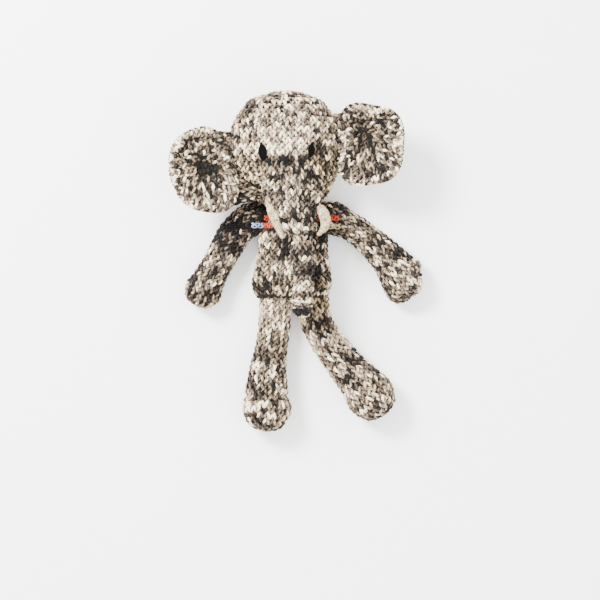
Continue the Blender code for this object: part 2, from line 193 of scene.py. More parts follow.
def noise_of(make, link, place, scale, detail, roughness=0.5):
    noise = make("ShaderNodeTexNoise")
    set_inputs(noise, {"Scale": scale, "Detail": detail, "Roughness": roughness})
    link(place, noise.inputs["Vector"])
    return noise.outputs["Fac"]


def ramp_of(make, link, value, stops):
    ramp = make("ShaderNodeValToRGB")
    elements = ramp.color_ramp.elements
    for element, (place, colour) in ((elements[0], stops[0]), (elements[1], stops[-1])):
        element.position = place
        element.color = (*colour, 1)
    for place, colour in stops[1:-1]:
        elements.new(place).color = (*colour, 1)
    link(value, ramp.inputs["Fac"])
    return ramp.outputs["Color"]


def mix_of(make, link, blend, share, under, over):
    mix = make("ShaderNodeMix", data_type="RGBA", blend_type=blend)
    mix.inputs[7].default_value = (*over, 1)
    link(under, mix.inputs[6])
    link(share, mix.inputs[0])
    return mix.outputs[2]


def add_bump(make, link, shader, height, strength, distance):
    bump = make("ShaderNodeBump")
    set_inputs(bump, {"Strength": strength, "Distance": distance})
    link(height, bump.inputs["Height"])
    link(bump.outputs["Normal"], shader.inputs["Normal"])


CHARCOAL = (0.0040, 0.0033, 0.0030)
UMBER = (0.023, 0.0170, 0.0130)
TAUPE = (0.098, 0.073, 0.052)
BEIGE = (0.265, 0.204, 0.138)
CREAM = (0.540, 0.436, 0.300)
WHITE = (0.860, 0.755, 0.570)
OLIVE = (0.84, 0.77, 0.52)  # multiplied in by the tint, which is partly the yarn's own and partly painted shade
RUST = (0.080, 0.030, 0.013)


def yarn_material(name, stops, streak=0.90, hue=0.85, burrs=True):
    """Marled wool. "tone" is the strand's shade, partly its own and partly painted shade, "strand" runs along
    and round it, "cast" is its olive tint, partly its own and partly painted shade.
    """
    made, shader, make, link = new_material(name)
    layers = (("strand", "Vector"), ("tone", "Fac"), ("cast", "Fac"))
    strand, tone, cast = (make("ShaderNodeAttribute", attribute_name=n).outputs[kind] for n, kind in layers)
    centred = make("ShaderNodeMath", operation="MULTIPLY_ADD")
    set_inputs(centred, {1: 2.0 * streak, 2: -streak})
    link(noise_of(make, link, strand, 1.0, 3.0, 0.6), centred.inputs[0])
    total = make("ShaderNodeMath", operation="ADD", use_clamp=True)
    link(centred.outputs[0], total.inputs[0])
    link(tone, total.inputs[1])
    amount = make("ShaderNodeMath", operation="MULTIPLY", use_clamp=True)
    amount.inputs[1].default_value = hue
    link(cast, amount.inputs[0])
    marl = ramp_of(make, link, total.outputs[0], stops)
    colour = mix_of(make, link, "MULTIPLY", amount.outputs[0], marl, OLIVE)
    if burrs:
        where = make("ShaderNodeTexCoord").outputs["Object"]
        rare = make("ShaderNodeMapRange")
        set_inputs(rare, {"From Min": 0.735, "From Max": 0.775, "To Max": 0.85})
        link(noise_of(make, link, where, 95.0, 1.0), rare.inputs["Value"])
        colour = mix_of(make, link, "MIX", rare.outputs["Result"], colour, RUST)
    link(colour, shader.inputs["Base Color"])
    stretch = make("ShaderNodeVectorMath", operation="MULTIPLY")
    stretch.inputs[1].default_value = (1.6, 7.0, 7.0)
    link(strand, stretch.inputs[0])
    add_bump(make, link, shader, noise_of(make, link, stretch.outputs[0], 1.0, 4.0), 0.55, 0.5 * MM)
    set_inputs(shader, {"Roughness": 0.92, "Specular IOR Level": 0.12})
    set_inputs(shader, {"Sheen Weight": 0.04, "Sheen Roughness": 0.5})
    return made


def matted_material(name, scale, detail, stops, strength, distance, settings):
    """Felt or matted wool, with no strands of its own."""
    made, shader, make, link = new_material(name)
    wool = noise_of(make, link, make("ShaderNodeTexCoord").outputs["Object"], scale, detail)
    link(ramp_of(make, link, wool, stops), shader.inputs["Base Color"])
    add_bump(make, link, shader, wool, strength, distance)
    set_inputs(shader, settings)
    return made


MARL_STOPS = ((0.0, CHARCOAL), (0.20, UMBER), (0.43, TAUPE), (0.66, BEIGE), (0.84, CREAM), (1.0, WHITE))
IVORY_STOPS = ((0.0, (0.15, 0.11, 0.05)), (0.45, (0.38, 0.31, 0.17)), (1.0, (0.62, 0.53, 0.34)))
CORAL_STOPS = ((0.0, (0.11, 0.008, 0.004)), (0.5, (0.32, 0.024, 0.010)), (1.0, (0.46, 0.060, 0.030)))
PALE_STOPS = ((0.0, (0.17, 0.22, 0.36)), (0.5, (0.40, 0.45, 0.56)), (1.0, (0.66, 0.66, 0.64)))
FELT_STOPS = ((0.35, (0.0008, 0.0008, 0.0009)), (0.75, (0.0035, 0.0035, 0.0040)))
# These dark colours are painted shade in the gaps between the loops
SHADE_LINING_STOPS = ((0.3, (0.010, 0.009, 0.008)), (0.75, (0.045, 0.038, 0.032)))


# ---- surfaces from the CAD covers


def tree_of(*names):
    corners, faces = [], []
    for name in names:
        mesh = NODES[name].data
        start = len(corners)
        corners += [v.co.copy() for v in mesh.vertices]
        faces += [[start + i for i in p.vertices] for p in mesh.polygons]
    return BVHTree.FromPolygons(corners, faces)


def points_of(*names):
    found = [np.array([v.co for v in NODES[n].data.vertices], float).reshape(-1, 3) for n in names]
    return np.concatenate(found)


def edges_of(*names):
    starts, ends = [], []
    for name in names:
        mesh = NODES[name].data
        co = np.array([v.co for v in mesh.vertices], float).reshape(-1, 3)
        pairs = np.array([e.vertices[:] for e in mesh.edges])
        starts.append(co[pairs[:, 0]])
        ends.append(co[pairs[:, 1]])
    return np.concatenate(starts), np.concatenate(ends)


def section_middle(edges, at, ahead, side, up):
    """Middle of the slice across the piece at a point."""
    start, end = edges
    a = (start - at) @ ahead
    b = (end - at) @ ahead
    crossing = (a * b) < 0
    if crossing.sum() < 3:
        return None
    share = (a[crossing] / (a[crossing] - b[crossing]))[:, None]
    hits = start[crossing] * (1 - share) + end[crossing] * share
    across = (hits - at) @ side
    height = (hits - at) @ up
    return at + side * (across.min() + across.max()) / 2 + up * (height.min() + height.max()) / 2


def smooth_rows(values, times, periodic=False):
    for _ in range(times):
        before, after = (values[-1:], values[:1]) if periodic else (values[:1], values[-1:])
        padded = np.concatenate([before, values, after])
        values = 0.25 * padded[:-2] + 0.5 * padded[1:-1] + 0.25 * padded[2:]
    return values


class Surface:
    """A tube-like surface as a grid of points, rows along it and columns round it."""

    def __init__(self, grid):
        self.grid = grid
        steps = np.linalg.norm(np.diff(grid, axis=0), axis=2).mean(1)
        self.place = np.concatenate([[0.0], np.cumsum(steps)])
        self.length = self.place[-1]
        ring = np.roll(grid, -1, 1) - np.roll(grid, 1, 1)
        along = np.gradient(grid, axis=0)
        normal = np.cross(ring, along)
        size = np.linalg.norm(normal, axis=2, keepdims=True)
        self.normal = normal / np.maximum(size, 1e-12)
        middle = grid.mean(1, keepdims=True)
        if ((grid - middle) * self.normal).sum() < 0:
            self.normal = -self.normal

    def _between(self, places):
        """The row before each place, and the share of the way from it to the next."""
        at = np.interp(places, self.place, np.arange(len(self.place)))
        low = np.clip(at.astype(int), 0, len(self.place) - 2)
        return low, at - low

    def girth(self, place):
        low, share = self._between(np.array([place]))
        row = self.grid[low[0]] * (1 - share[0]) + self.grid[low[0] + 1] * share[0]
        return np.linalg.norm(np.roll(row, -1, 0) - row, axis=1).sum()

    def sample(self, turns, places):
        """Points and normals at shares of a turn and distances along."""
        count = self.grid.shape[1]
        low, v = self._between(places)
        v = v[:, None]
        round_ = (turns % 1.0) * count
        left = round_.astype(int) % count
        right = (left + 1) % count
        u = (round_ - np.floor(round_))[:, None]
        out = []
        for table in (self.grid, self.normal):
            near = table[low, left] * (1 - u) + table[low, right] * u
            far = table[low + 1, left] * (1 - u) + table[low + 1, right] * u
            out.append(near * (1 - v) + far * v)
        out[1] /= np.maximum(np.linalg.norm(out[1], axis=1, keepdims=True), 1e-12)
        return out


def ring_angles(count):
    return 2 * math.pi * (np.arange(count) + 0.5) / count


def across_and_up(forward):
    across = np.cross(forward, (0.0, 0.0, 1.0))
    across /= np.linalg.norm(across)
    return across, np.cross(across, forward)


def ring_frames(centres, heading=None):
    """Directions across and up at each centre of a tube. heading fixes the way that it runs."""
    path = smooth_rows(np.gradient(centres, axis=0), 8)
    frames = []
    for i in range(len(centres)):
        forward = path[i] if heading is None else heading
        frames.append(across_and_up(forward / max(np.linalg.norm(forward), 1e-12)))
    return frames


def tube_parts(names, start, end, columns=72, ease=True, smooth=2, reach=0.12, heading=None):
    """Centres and radii of a tube-like cover, from rays cast at its outer side in slices from start to end.

    ease puts the slices closer together towards the end, and reach is how far out the rays start.
    """
    tree = tree_of(*names)
    edges = edges_of(*names)
    start, end = np.array(start, float), np.array(end, float)
    chord = end - start
    ahead = chord / np.linalg.norm(chord) if heading is None else np.array(heading, float)
    count = max(12, int(np.linalg.norm(chord) / SLICE))
    share = np.linspace(0, 1, count)
    if ease:
        share = np.sin(share * math.pi / 2) * 0.5 + share * 0.5
    side, up = across_and_up(ahead)
    centres = []
    for s in share:
        at = start + chord * min(max(s, 0.004), 0.996)
        middle = section_middle(edges, at, ahead, side, up)
        centres.append(at if middle is None else middle)
    centres = smooth_rows(np.array(centres), 6)
    frames = ring_frames(centres, heading)
    angles = ring_angles(columns)
    radii = np.full((count, columns), np.nan)
    for i, (across, raised) in enumerate(frames):
        for k, a in enumerate(angles):
            out = across * math.cos(a) + raised * math.sin(a)
            hit = tree.ray_cast(Vector(centres[i] + out * reach), Vector(-out), reach)
            if hit[0] is not None:
                radii[i, k] = reach - hit[3]
    rows = np.arange(count)
    for k in range(columns):
        good = ~np.isnan(radii[:, k])
        if good.any():
            radii[:, k] = np.interp(rows, rows[good], radii[good, k])
    radii = smooth_rows(radii.T, smooth, True).T
    return centres, smooth_rows(radii, smooth)


def tube_grid(centres, radii, heading=None):
    angles = ring_angles(radii.shape[1])
    grid = []
    for (across, raised), centre, reach in zip(ring_frames(centres, heading), centres, radii):
        rays = np.cos(angles)[:, None] * across + np.sin(angles)[:, None] * raised
        grid.append(centre + rays * reach[:, None])
    return np.array(grid)


def ring_faces(rows, columns, start=0):
    """The quads of a tube whose points come ring by ring."""
    faces = []
    for near in range(start, start + (rows - 1) * columns, columns):
        for k in range(columns):
            after = (k + 1) % columns
            faces.append((near + k, near + after, near + columns + after, near + columns + k))
    return faces


def add_mesh(name, points, faces, material):
    mesh = bpy.data.meshes.new(name)
    mesh.from_pydata(points, [], faces)
    mesh.update()
    mesh.polygons.foreach_set("use_smooth", np.ones(len(faces), bool))
    mesh.materials.append(material)
    return add_object(name, mesh)


# ---- knitting


class Yarn:
    """Gathers swept strands, then becomes one mesh with its strand attributes."""

    def __init__(self, seed):
        self.random = np.random.default_rng(seed)
        self.points, self.strand, self.tone, self.cast, self.faces = [], [], [], [], []
        self.count = 0
        self.spool = float(self.random.uniform(0, 50))

    def sweep(self, line, up, radius, tone, cast, closed):
        """A round strand along a line. up is the surface's normal at each point of it."""
        if closed:
            ahead = np.roll(line, -1, 0) - np.roll(line, 1, 0)
            step = np.linalg.norm(np.roll(line, -1, 0) - line, axis=1)
        else:
            ahead = np.gradient(line, axis=0)
            step = np.concatenate([np.linalg.norm(np.diff(line, axis=0), axis=1), [0]])
        ahead /= np.maximum(np.linalg.norm(ahead, axis=1, keepdims=True), 1e-12)
        side = np.cross(ahead, up)
        side /= np.maximum(np.linalg.norm(side, axis=1, keepdims=True), 1e-12)
        lift = np.cross(side, ahead)
        along = self.spool + np.concatenate([[0], np.cumsum(step)[:-1]])
        self.spool = float(along[-1] + step[-1])
        total = len(line)
        turn = 2 * math.pi * np.arange(SIDES) / SIDES
        ring = np.cos(turn)[None, :, None] * side[:, None] + np.sin(turn)[None, :, None] * lift[:, None]
        self.points.append((line[:, None] + ring * radius[:, None, None]).reshape(-1, 3))
        spiral = turn[None, :] + 2 * math.pi * along[:, None] / PLY_TWIST
        fleck = np.broadcast_to(along[:, None] / FLECK, spiral.shape)
        self.strand.append(np.stack([fleck, np.cos(spiral), np.sin(spiral)], 2).reshape(-1, 3))
        # Painted shade: each strand is darker on its sides and underside, in the creases against the next
        # strands
        crease = PAINTED_CREASE_SHADE * (1 - np.sin(turn))
        self.tone.append((np.asarray(tone)[:, None] - crease[None, :]).ravel())
        self.cast.append(np.repeat(cast, SIDES))
        rows = np.arange(total if closed else total - 1)
        after = (rows + 1) % total
        k = np.arange(SIDES)
        near = self.count + rows[:, None] * SIDES
        far = self.count + after[:, None] * SIDES
        quads = np.stack([near + k, near + (k + 1) % SIDES, far + (k + 1) % SIDES, far + k], 2).reshape(-1, 4)
        self.faces.append(quads)
        if not closed:
            first = self.count + k[::-1]
            last = self.count + (total - 1) * SIDES + k
            for cap in (first, last):
                self.faces.append(cap[[[0, 1, 2, 3], [0, 3, 4, 5]]])
        self.count += total * SIDES

    def make(self, name, material):
        points = np.concatenate(self.points)
        points[:, 2] = np.maximum(points[:, 2], REST_HEIGHT)
        made = add_mesh(name, points.tolist(), np.concatenate(self.faces).tolist(), material)
        layer = made.data.attributes.new("strand", "FLOAT_VECTOR", "POINT")
        layer.data.foreach_set("vector", np.concatenate(self.strand).astype(np.float32).ravel())
        for label, values in (("tone", self.tone), ("cast", self.cast)):
            layer = made.data.attributes.new(label, "FLOAT", "POINT")
            layer.data.foreach_set("value", np.concatenate(values).astype(np.float32))
        return made


def drift(along, seed):
    """Slow change of shade along a hand-spun strand, from -1 to 1."""
    parts = ((0.41, 0.55), (0.145, 0.5), (0.061, 0.6), (0.023, 0.8))  # period in metres, weight
    total = np.zeros_like(along)
    for i, (period, weight) in enumerate(parts):
        total += weight * np.sin(2 * math.pi * (along / period + 0.37 * i + 0.61 * seed * (i + 1)))
    return total / sum(w for _, w in parts)


def capped(grid, narrow=8.0 * MM, rise=0.45, share=0.6):
    """The same tube, cut where it gets narrow and rounded off from there.

    narrow is the radius of the cut, or share of the widest radius near it if that is less. rise is the
    height of the rounding in radii.
    """
    middles = grid.mean(1, keepdims=True)
    wide = np.linalg.norm(grid - middles, axis=2).mean(1)
    last = max(6, int(np.nonzero(wide > min(narrow, share * wide[-60:].max()))[0][-1]) + 1)
    grid = grid[:last]
    ring = grid[-1]
    middle = ring.mean(0)
    ahead = middle - grid[-5].mean(0)
    ahead /= np.linalg.norm(ahead)
    turns = np.radians((15, 30, 45, 60, 75, 87))
    peak = ahead * rise * wide[last - 1]
    rows = [middle + (ring - middle) * math.cos(a) + peak * math.sin(a) for a in turns]
    return np.concatenate([grid, np.array(rows)])


def knit(yarn, surface, tone_at, first=0.0, last=None, stitch=STITCH, row=ROW, radius=YARN,
         sink=SINK, depth=LOOP_DEPTH, flip=False, contrast=CONTRAST, seed=0.0, closed_end=False,
         closed_start=False, purl=None):
    """Lays rows of loops. tone_at(turn, share along, points) is the shade and tint wanted there."""
    last = surface.length if last is None else last
    low_end = POLE_GAP if closed_start else 0.0
    high_end = surface.length - (POLE_GAP if closed_end else 0.0)
    rows = max(1, int(round((last - first) / row)))
    height = (last - first) / rows
    held = None
    for r in range(rows):
        place = first + (r + 0.5) * height
        wanted = surface.girth(place) / stitch
        if held is None or abs(wanted - held) > RECOUNT * held:
            held = max(4, int(round(wanted)))
        phase = np.arange(held * SAMPLES) * 2 * math.pi / SAMPLES
        number = np.floor(phase / (2 * math.pi)).astype(int) % held
        jitter = yarn.random.normal(0, 1, (4, held))

        def eased(values, phase=phase):
            return np.interp(phase, np.arange(len(values) + 1) * 2 * math.pi, np.append(values, values[0]))

        tall = 1 + HEIGHT_JITTER * jitter[0][number]
        lean = LEAN_JITTER * jitter[1][number] * np.sin(phase / 2) ** 2
        x = phase / (2 * math.pi) + LOOP_SWING * np.sin(2 * phase) + lean
        sign = -1.0 if flip else 1.0
        y = -sign * LOOP_HEIGHT * height * np.cos(phase) * tall
        ridge = purl is not None and purl((r + 0.5) / rows)
        z = (PURL_RISE if ridge else -1.0) * depth * np.cos(2 * phase)
        where = x / held
        wobble = WOBBLE * np.sin(2 * math.pi * (2 * where + 0.37 * seed + 0.11 * r)) * min(1.0, held / 12)
        places = np.clip(place + y + wobble, low_end, high_end)
        points, normals = surface.sample(where, places)
        thick = 1 + THICKNESS_JITTER * eased(jitter[2])
        leaf = 0.62 + 0.50 * (np.cos(phase) ** 2 if ridge else np.sin(phase) ** 2)  # thin at the loop's ends
        room = min(1.0, surface.girth(place) / held / stitch * 1.05)  # less than 1 where the stitches crowd
        size = radius * np.clip(thick, 0.72, 1.3) * leaf * (0.45 + 0.55 * room)
        line = points + normals * (z - sink)[:, None]
        along = yarn.spool + phase / (2 * math.pi) * stitch * YARN_PER_STITCH
        share = (places - first) / max(last - first, 1e-9)
        shade, tint = tone_at(where % 1.0, share, points)
        speck = SPECK_SHADE * contrast * eased(jitter[3])
        legs = yarn.random.normal(0, 1, 2 * held + 1)[:-1]
        leg = np.interp(phase / math.pi, np.arange(2 * held) + 0.5, legs, period=2 * held)
        tone = shade + contrast * drift(along, seed) + speck + LEG_SHADE * contrast * leg
        yarn.sweep(line, normals, size, tone, np.broadcast_to(tint, tone.shape), True)


def skin(name, surface, material, depth=SKIN, first=0.0, last=None):
    """The layer just under the loops, so that nothing shows through between them; its dark colour is painted
    shade.
    """
    last = surface.length if last is None else last
    rows = max(4, int((last - first) / (4 * MM)))
    columns = 40
    grid = []
    for place in np.linspace(first, last, rows):
        points, normals = surface.sample(np.arange(columns) / columns, np.full(columns, place))
        grid.append(points - normals * depth)
    points = np.array(grid).reshape(-1, 3)
    points[:, 2] = np.maximum(points[:, 2], REST_HEIGHT)
    return add_mesh(name, points.tolist(), ring_faces(rows, columns), material)


def bell(x, middle, width):
    return np.exp(-(((x - middle) / width) ** 2))


# ---- the object


make_camera()
make_floor()
make_studio()

MARL = yarn_material("marl", MARL_STOPS)
IVORY = yarn_material("ivory", IVORY_STOPS, 0.5, 0.0, False)
BAND_YARNS = {
    name: yarn_material(name, stops, 0.6, 0.0, False)
    for name, stops in (("coral", CORAL_STOPS), ("pale", PALE_STOPS), ("milk", IVORY_STOPS))
}
FELT_FINISH = {"Roughness": 1.0, "Specular IOR Level": 0.04}
FELT = matted_material("eye_felt", 900.0, 5.0, FELT_STOPS, 0.5, 0.3 * MM, FELT_FINISH)
SHADE_LINING = matted_material("lining", 260.0, 4.0, SHADE_LINING_STOPS, 0.6, 1.0 * MM, {"Roughness": 0.95})


def banded(share, tone, *bands):
    """A shade with lighter and darker bands along a piece: how much, where and how wide."""
    for amount, place, width in bands:
        tone = tone + amount * bell(share, place, width)
    return tone


# Each of these gives the yarn's shade (0 dark, 1 light) and its olive tint, both as the photo shows them


# Where marked below, parts of these shades and tints are painted shade
def head_tone(turn, share, points):
    lo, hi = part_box("head_cover")
    middle = (lo + hi) / 2
    x = (points[:, 0] - middle.x) / ((hi.x - lo.x) / 2)
    y = (points[:, 1] - lo.y) / (hi.y - lo.y)
    front = np.clip((points[:, 2] - middle.z) / ((hi.z - lo.z) / 2), 0, 1)
    # Painted shade: the head is darker where it faces away from the front, on its sides and underside
    tone = 0.64 - 0.12 * (1 - front)
    tone = tone + front * 0.22 * bell(y, 0.45, 0.07) * bell(x, 0.0, 0.32)
    # The dark band under the eyes is partly darker yarn and partly painted shade where the trunk meets the
    # face
    tone = tone - front * 0.62 * bell(y, 0.335 + 0.05 * x * x, 0.045) * bell(x, 0.0, 0.62)
    tone = tone - 0.30 * bell(x, 0.62, 0.12) * bell(y, 0.45, 0.08) - 0.14 * bell(y, 0.97, 0.10)
    tone = tone - 0.30 * bell(x, 0.0, 0.10) * bell(y, 0.70, 0.035)
    cheeks = bell(x, 0.66, 0.26) * bell(y, 0.28, 0.2) + 0.7 * bell(x, -0.62, 0.25) * bell(y, 0.22, 0.2)
    # The tint away from the front is painted shade on the head's sides
    return tone, 0.85 * cheeks + 0.5 * (1 - front)


def body_tone(turn, share, points):
    lift = np.clip(points[:, 2] / (45 * MM), 0, 1)
    base = 0.51 - 0.17 * np.clip((share - 0.42) / 0.12, 0, 1)
    # The dark band at the hem is partly darker yarn and partly painted shadow in the gap above the legs
    tone = banded(share, base, (0.22, 0.33, 0.065), (-0.74, 0.01, 0.034))
    middle = JOINTS["trunk_swing"]["pos_m"][0]
    left, right = (bell(points[:, 0], middle + x, 5 * MM) for x in (-19 * MM, 20 * MM))
    tone = tone - 0.20 * (0.9 * left + 0.6 * right) * (points[:, 2] > 20 * MM)  # painted shade on the body beside the trunk, which lies on it
    # The tint that rises towards the floor is painted shade on the body's lower sides
    return tone, 0.15 + 0.45 * (1 - lift) + 0.35 * bell(share, 0.14, 0.10)


def trunk_tone(turn, share, points):
    # The first dark band, at the trunk's root under the brow, is partly darker yarn and partly painted shade
    tone = banded(
        share, 0.46, (-0.14, 0.03, 0.04), (-0.32, 0.322, 0.022), (0.42, 0.378, 0.020),
        (-0.34, 0.430, 0.020), (0.20, 0.478, 0.022), (-0.12, 0.558, 0.02), (-0.06, 0.66, 0.08),
        (0.34, 0.785, 0.020), (-0.45, 0.822, 0.012), (0.38, 0.864, 0.026), (-0.64, 0.925, 0.022),
        (0.36, 0.985, 0.022),
    )
    return tone, 0.12


# A limb's shade at its root, how it rises from there (by how much, from where, over what length), its bands
# of shade, its tint, the further tint below LOW_DOWN, which is painted shade on its underside, and a band of
# tint
LIMB_TONES = {
    "arm_left": (
        0.15, (0.31, 0.40, 0.14), ((0.16, 0.52, 0.045), (-0.22, 0.63, 0.045), (0.09, 0.92, 0.14)),
        0.15, 0.35, (0.35, 0.95, 0.12),
    ),
    "arm_right": (
        0.17, (0.33, 0.22, 0.12), ((0.12, 0.36, 0.04), (-0.22, 0.58, 0.035), (0.06, 0.9, 0.15)),
        0.15, 0.35, (0, 0, 1),
    ),
    "leg_left": (
        0.52, (0, 0, 1), ((0.24, 0.12, 0.10), (-0.14, 0.42, 0.05), (-0.16, 0.62, 0.035), (0.06, 0.8, 0.1)),
        0.25, 0.4, (0, 0, 1),
    ),
    "leg_right": (
        0.54, (0, 0, 1), ((0.10, 0.08, 0.08), (-0.17, 0.22, 0.035), (0.18, 0.33, 0.05), (-0.20, 0.60, 0.04),
                          (0.08, 0.8, 0.05)),
        0.2, 0.4, (0.75, 0.08, 0.12),
    ),
}
LOW_DOWN = 14 * MM


def limb_tone(name):
    shade, (rise, begins, over), bands, tint, low_shade_tint, tint_band = LIMB_TONES[name]

    def tone_at(turn, share, points):
        tone = banded(share, shade + rise * np.clip((share - begins) / over, 0, 1), *bands)
        # The extra tint below LOW_DOWN is painted shade on the limb's underside
        return tone, banded(share, tint + low_shade_tint * (points[:, 2] < LOW_DOWN), tint_band)

    return tone_at


def ear_tone(turn, share, points):
    # Painted shade: the ear is darker and more tinted in its hollow
    hollow = bell(share, 1.0, 0.17)
    tone = 0.59 - 0.36 * hollow + 0.06 * np.sin(turn * 12.6 + 1.0) + 0.10 * bell(share, 0.5, 0.1)
    lo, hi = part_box("head_cover")
    apart = np.abs(points[:, 0] - (lo.x + hi.x) / 2) - (hi.x - lo.x) / 2
    tone = tone - 0.13 * np.clip(1 - apart / (35 * MM), 0, 1)
    return tone, 0.15 + 0.4 * hollow


def part_tone(tone_at, surface, first, last):
    """The shade of a stretch of a surface, from a shade that is stated for the whole of it."""
    reach = last - first
    return lambda turn, share, points: tone_at(turn, (first + share * reach) / surface.length, points)


def finish_pieces(name, yarn, surface, move, nodes=(), made_of=(MARL, SHADE_LINING), slot="knit_marl", fill=None,
                  **extent):
    """The knitted layer and the one under it move together; the knitted one stands for the CAD nodes."""
    knitted = yarn.make(name, made_of[0])
    under = skin(name.replace("knit", "under"), surface, made_of[1], **extent)
    if nodes:
        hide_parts(*nodes)
    for made in (knitted, under):
        move(made)


def blended(name, yarn, surface, nodes, body_a, body_b, start, end, fill=0.9, **extent):
    """The knitted layer and the dark layer under it, kept where they are made."""

    def bend(made):
        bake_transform(made)

    finish_pieces(name, yarn, surface, bend, nodes, fill=fill, **extent)


HEAD_COLUMNS = 120
BROW_BULGE = 1.4 * MM
BROW_CREASE = 4.0 * MM
BROW_MARGIN = 4.0 * MM  # the brow is this far above the trunk's seam
RECESS_HALF = 42 * MM  # half width of the CAD recess that the looks fill in
CHEEK_FALL = 52 * MM  # length of the rounding from the brow to the chin
CROWN_WIDER = 0.22
TEMPLE_WIDER = 0.07
CROWN_CAP = {"narrow": 16 * MM, "rise": 0.22}
NECK_LAP = 9 * MM  # the body's knitting runs on this far past the nod axis, inside the head
NECK_RADIUS = 17.5 * MM
NECK_BEND = Vector((0, 10 * MM, 0))  # an offset of this length along the neck, from the pivots


def gathered(ring):
    """Rows that draw the head's lower edge in to the neck."""
    pivot = np.array(JOINTS["head_tilt"]["pos_m"])
    angles = ring_angles(len(ring))
    across, up = ring_frames(np.array([pivot, pivot, pivot]), HEADWARD)[0]
    small = pivot + NECK_RADIUS * (np.cos(angles)[:, None] * across + np.sin(angles)[:, None] * up)
    small[:, 1] = min(pivot[1], ring[:, 1].mean() - 4 * MM)
    rows = []
    for s in np.linspace(0, 1, 14)[:-1]:
        row = small + (ring - small) * s
        row[:, 1] = small[0, 1] + (ring[:, 1] - small[:, 1]) * (1 - math.cos(s * math.pi / 2))
        rows.append(row)
    return np.array(rows)


def make_head():
    lo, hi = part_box("head_cover")
    middle = (lo + hi) / 2
    start, end = (middle.x, lo.y, 0.3 * hi.z), (middle.x, hi.y, 0.4 * hi.z)
    centres, radii = tube_parts(["head_cover"], start, end, columns=HEAD_COLUMNS, heading=HEADWARD)
    trunk = Vector(JOINTS["trunk_lift"]["pos_m"])
    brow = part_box("trunk_seam")[1].y + BROW_MARGIN
    grid = tube_grid(centres, radii, HEADWARD)
    filled = (np.abs(grid[..., 0] - trunk.x) < RECESS_HALF) & (centres[:, None, 1] < brow)
    filled &= np.sin(ring_angles(HEAD_COLUMNS))[None, :] > 0.12
    row = int(np.searchsorted(centres[:, 1], brow))
    fall = np.sqrt(np.clip(1 - ((brow - centres[:, 1]) / CHEEK_FALL) ** 2, 0.05, 1))
    radii = np.where(filled, (radii[row][None, :] * fall[:, None]), radii)
    radii = smooth_rows(smooth_rows(radii.T, 3, True).T, 3)
    grid = tube_grid(centres, radii, HEADWARD)
    x = (grid[..., 0] - middle.x) / ((hi.x - lo.x) / 2)
    y = (grid[..., 1] - lo.y) / (hi.y - lo.y)
    front = np.clip((grid[..., 2] - middle.z) / (0.3 * (hi.z - middle.z)), 0, 1)
    wider = 1 + CROWN_WIDER * bell(y, 0.95, 0.085) + TEMPLE_WIDER * bell(y, 0.74, 0.13)
    grid[..., 0] = middle.x + (grid[..., 0] - middle.x) * wider
    crease = bell(grid[..., 1], brow - 4 * MM, 5.5 * MM) * bell(grid[..., 0], trunk.x, 40 * MM)
    grid[..., 2] += front * (BROW_BULGE * bell(y, 0.44, 0.06) * bell(x, -0.05, 0.34) - BROW_CREASE * crease)
    surface = Surface(np.concatenate([gathered(grid[0]), capped(grid, **CROWN_CAP)]))
    yarn = Yarn(11)
    knit(yarn, surface, head_tone, seed=0.1, closed_end=True)
    pivot = Vector(JOINTS["head_tilt"]["pos_m"])
    nodes = ["head_cover", "head_stuffing"]
    blended("head_knit", yarn, surface, nodes, "neck", "head", pivot, pivot + NECK_BEND)
    return surface


def make_body():
    lo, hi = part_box("body_sleeve")
    middle = (lo + hi) / 2
    start, end = (middle.x, lo.y, middle.z), (middle.x, hi.y, middle.z)
    centres, radii = tube_parts(["body_sleeve"], start, end, ease=False, heading=HEADWARD)
    pivot = Vector(JOINTS["head_nod"]["pos_m"])
    steps = np.linspace(0.1, 1, 12)
    neck = np.array([centres[-1] + (np.array(pivot) + (0, NECK_LAP, 0) - centres[-1]) * s for s in steps])
    shrink = [math.sin(min(1.0, s * 1.6) * math.pi / 2) ** 2 for s in steps]
    narrow = np.array([radii[-1] * (1 - w) + NECK_RADIUS * w for w in shrink])
    grid = tube_grid(np.concatenate([centres, neck]), np.concatenate([radii, narrow]), HEADWARD)
    surface = Surface(np.concatenate([hem_rows(grid), grid]))
    yarn = Yarn(12)
    knit(yarn, surface, body_tone, seed=0.7, contrast=0.28)
    nodes = ["body_sleeve", "hem_band", "neck_seam"]
    blended("body_knit", yarn, surface, nodes, "sleeve", "neck", pivot - NECK_BEND, pivot, fill=0.4)
    return surface


HEM_ROLL = 2.6 * MM


def hem_rows(grid):
    """The cast-off edge, which rolls in on itself below the first row."""
    ring = grid[0]
    middle = ring.mean(0)
    inward = middle - ring
    inward /= np.linalg.norm(inward, axis=1, keepdims=True)
    rows = []
    for turn in np.radians((150, 115, 80, 45, 15)):
        drop = HEM_ROLL * math.sin(turn) * 1.6
        rows.append(ring + inward * HEM_ROLL * (1 - math.cos(turn)) - np.array([0, drop, 0]))
    return np.array(rows)


